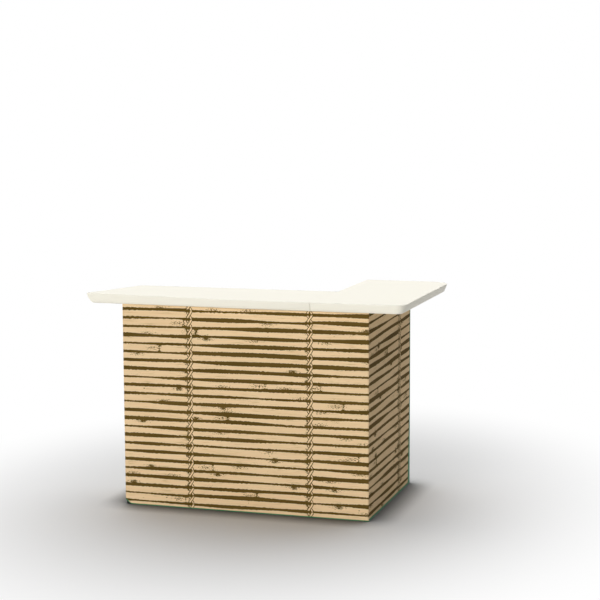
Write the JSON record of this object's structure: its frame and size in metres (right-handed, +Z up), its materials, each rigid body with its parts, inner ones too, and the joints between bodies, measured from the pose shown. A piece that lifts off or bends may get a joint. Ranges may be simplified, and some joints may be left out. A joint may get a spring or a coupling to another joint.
{
  "type": "portable patio bar",
  "caption": "L-shaped portable patio bar: a two-piece cream counter on a folding steel frame, with shelves and a cloth skirt printed as lashed bamboo slats.",
  "frame": {"origin": "middle of the footprint of the counter, on the floor", "axes": "+X to the guests' right along the front, +Y towards the bartender's side, +Z up"},
  "size_m": [1.656, 1.026, 1.067],
  "materials": {
    "counter_plastic": "cream blow-moulded polyethylene with a fine grain",
    "shelf_plastic": "cream moulded polyethylene",
    "printed_cloth": "printed polyester, bamboo pattern",
    "green_binding": "dark green polyester tape",
    "hook_tape": "black hook tape",
    "rubber_feet": "black rubber",
    "black_nylon": "moulded black nylon",
    "zinc_rivets": "zinc plated",
    "coated_steel": "dark grey powder coat"
  },
  "bodies": {
    "corner_tower": {"corner_inner_ladder": "coated_steel", "corner_outer_ladder": "coated_steel", "corner_rear_frame": "coated_steel", "corner_front_top_tube": "coated_steel", "corner_front_low_tube": "coated_steel", "seam_bracket_front": "black_nylon", "seam_bracket_rear": "black_nylon", "guide_bracket": "black_nylon", "outer_bracket_front": "black_nylon", "outer_bracket_rear": "black_nylon", "corner_feet": "rubber_feet", "corner_hook_tape": "hook_tape", "skirt_front": "printed_cloth", "skirt_right": "printed_cloth", "skirt_left": "printed_cloth", "binding_front": "green_binding", "binding_right": "green_binding", "binding_left": "green_binding", "shelf_corner": "shelf_plastic"},
    "right_falling_arms": {"right_bay_first_falling_arm": "coated_steel", "right_bay_second_falling_arm": "coated_steel", "right_bay_falling_rivets": "zinc_rivets"},
    "right_rising_arms": {"right_bay_first_rising_arm": "coated_steel", "right_bay_second_rising_arm": "coated_steel", "right_bay_rising_rivets": "zinc_rivets"},
    "corner_front_sliders": {"corner_front_sliders": "black_nylon"},
    "middle_frame": {"middle_ladder": "coated_steel", "middle_brackets": "black_nylon", "middle_feet": "rubber_feet", "middle_hook_tape": "hook_tape"},
    "middle_sliders": {"middle_sliders": "black_nylon"},
    "left_falling_arms": {"left_bay_first_falling_arm": "coated_steel", "left_bay_second_falling_arm": "coated_steel", "left_bay_falling_rivets": "zinc_rivets"},
    "left_rising_arms": {"left_bay_first_rising_arm": "coated_steel", "left_bay_second_rising_arm": "coated_steel", "left_bay_rising_rivets": "zinc_rivets"},
    "left_frame": {"left_ladder": "coated_steel", "left_brackets": "black_nylon", "left_feet": "rubber_feet", "left_hook_tape": "hook_tape"},
    "left_sliders": {"left_sliders": "black_nylon"},
    "return_falling_arms": {"return_bay_first_falling_arm": "coated_steel", "return_bay_second_falling_arm": "coated_steel", "return_bay_falling_rivets": "zinc_rivets"},
    "return_rising_arms": {"return_bay_first_rising_arm": "coated_steel", "return_bay_second_rising_arm": "coated_steel", "return_bay_rising_rivets": "zinc_rivets"},
    "corner_return_sliders": {"corner_return_sliders": "black_nylon"},
    "return_frame": {"return_ladder": "coated_steel", "return_brackets": "black_nylon", "return_feet": "rubber_feet", "return_hook_tape": "hook_tape"},
    "return_sliders": {"return_sliders": "black_nylon"},
    "shelf_middle": {"shelf_middle": "shelf_plastic"},
    "shelf_left": {"shelf_left": "shelf_plastic"},
    "shelf_return": {"shelf_return": "shelf_plastic"},
    "counter_main": {"counter_main": "counter_plastic"},
    "counter_corner": {"counter_corner": "counter_plastic"}
  },
  "joints": [
    {"name": "front_fold", "type": "hinge", "parent": "corner_tower", "child": "right_falling_arms", "pos_m": [0.3215, -0.4065, 0.985], "axis": [0, -1, 0], "range_deg": [0, 56]},
    {"name": "right_cross", "type": "hinge", "parent": "right_falling_arms", "child": "right_rising_arms", "pos_m": [0.10862, -0.4065, 0.86372], "axis": [0, -1, 0], "range_deg": [-112.5, 0.5]},
    {"name": "corner_front_slide", "type": "hinge", "parent": "right_rising_arms", "child": "corner_front_sliders", "pos_m": [0.3215, -0.4065, 0.74244], "axis": [0, -1, 0], "range_deg": [-0.5, 56.5]},
    {"name": "middle_ladder_pivot", "type": "hinge", "parent": "right_rising_arms", "child": "middle_frame", "pos_m": [-0.10425, -0.4065, 0.985], "axis": [0, -1, 0], "range_deg": [-0.5, 56.5]},
    {"name": "middle_slide", "type": "hinge", "parent": "right_falling_arms", "child": "middle_sliders", "pos_m": [-0.10425, -0.4065, 0.74244], "axis": [0, -1, 0], "range_deg": [-56.5, 0.5]},
    {"name": "left_fold", "type": "hinge", "parent": "middle_frame", "child": "left_falling_arms", "pos_m": [-0.16125, -0.4065, 0.985], "axis": [0, -1, 0], "range_deg": [-0.5, 56.5]},
    {"name": "left_cross", "type": "hinge", "parent": "left_falling_arms", "child": "left_rising_arms", "pos_m": [-0.37412, -0.4065, 0.86372], "axis": [0, -1, 0], "range_deg": [-112.5, 0.5]},
    {"name": "left_ladder_pivot", "type": "hinge", "parent": "left_rising_arms", "child": "left_frame", "pos_m": [-0.587, -0.4065, 0.985], "axis": [0, -1, 0], "range_deg": [-0.5, 56.5]},
    {"name": "left_slide", "type": "hinge", "parent": "left_falling_arms", "child": "left_sliders", "pos_m": [-0.587, -0.4065, 0.74244], "axis": [0, -1, 0], "range_deg": [-56.5, 0.5]},
    {"name": "return_fold", "type": "hinge", "parent": "corner_tower", "child": "return_falling_arms", "pos_m": [0.412, -0.05975, 0.985], "axis": [-1, 0, 0], "range_deg": [0, 56]},
    {"name": "return_cross", "type": "hinge", "parent": "return_falling_arms", "child": "return_rising_arms", "pos_m": [0.412, 0.15313, 0.86372], "axis": [-1, 0, 0], "range_deg": [-112.5, 0.5]},
    {"name": "corner_return_slide", "type": "hinge", "parent": "return_rising_arms", "child": "corner_return_sliders", "pos_m": [0.412, -0.05975, 0.74244], "axis": [-1, 0, 0], "range_deg": [-0.5, 56.5]},
    {"name": "return_ladder_pivot", "type": "hinge", "parent": "return_rising_arms", "child": "return_frame", "pos_m": [0.412, 0.366, 0.985], "axis": [-1, 0, 0], "range_deg": [-0.5, 56.5]},
    {"name": "return_slide", "type": "hinge", "parent": "return_falling_arms", "child": "return_sliders", "pos_m": [0.412, 0.366, 0.74244], "axis": [-1, 0, 0], "range_deg": [-56.5, 0.5]},
    {"name": "shelf_middle_lift", "type": "hinge", "parent": "corner_tower", "child": "shelf_middle", "pos_m": [0.329, -0.24738, 0.4262], "axis": [0, 1, 0], "range_deg": [0, 90]},
    {"name": "shelf_left_lift", "type": "hinge", "parent": "middle_frame", "child": "shelf_left", "pos_m": [-0.15375, -0.24738, 0.4262], "axis": [0, 1, 0], "range_deg": [0, 90]},
    {"name": "shelf_return_lift", "type": "hinge", "parent": "corner_tower", "child": "shelf_return", "pos_m": [0.51375, -0.06725, 0.4262], "axis": [1, 0, 0], "range_deg": [0, 90]},
    {"name": "counter_main_lift", "type": "slide", "parent": "corner_tower", "child": "counter_main", "axis": [0, 0, 1], "range_m": [0, 0.12]},
    {"name": "counter_corner_lift", "type": "slide", "parent": "corner_tower", "child": "counter_corner", "axis": [0, 0, 1], "range_m": [0, 0.12]}
  ],
  "couplings": [
    {"joint": "right_cross", "follows": "front_fold", "ratio": -2},
    {"joint": "corner_front_slide", "follows": "front_fold", "ratio": 1},
    {"joint": "middle_ladder_pivot", "follows": "front_fold", "ratio": 1},
    {"joint": "middle_slide", "follows": "front_fold", "ratio": -1},
    {"joint": "left_fold", "follows": "front_fold", "ratio": 1},
    {"joint": "left_cross", "follows": "front_fold", "ratio": -2},
    {"joint": "left_ladder_pivot", "follows": "front_fold", "ratio": 1},
    {"joint": "left_slide", "follows": "front_fold", "ratio": -1},
    {"joint": "return_cross", "follows": "return_fold", "ratio": -2},
    {"joint": "corner_return_slide", "follows": "return_fold", "ratio": 1},
    {"joint": "return_ladder_pivot", "follows": "return_fold", "ratio": 1},
    {"joint": "return_slide", "follows": "return_fold", "ratio": -1},
    {"joint": "shelf_middle_lift", "follows": "front_fold", "ratio": 1.6},
    {"joint": "shelf_left_lift", "follows": "front_fold", "ratio": 1.6},
    {"joint": "shelf_return_lift", "follows": "return_fold", "ratio": 1.6}
  ]
}
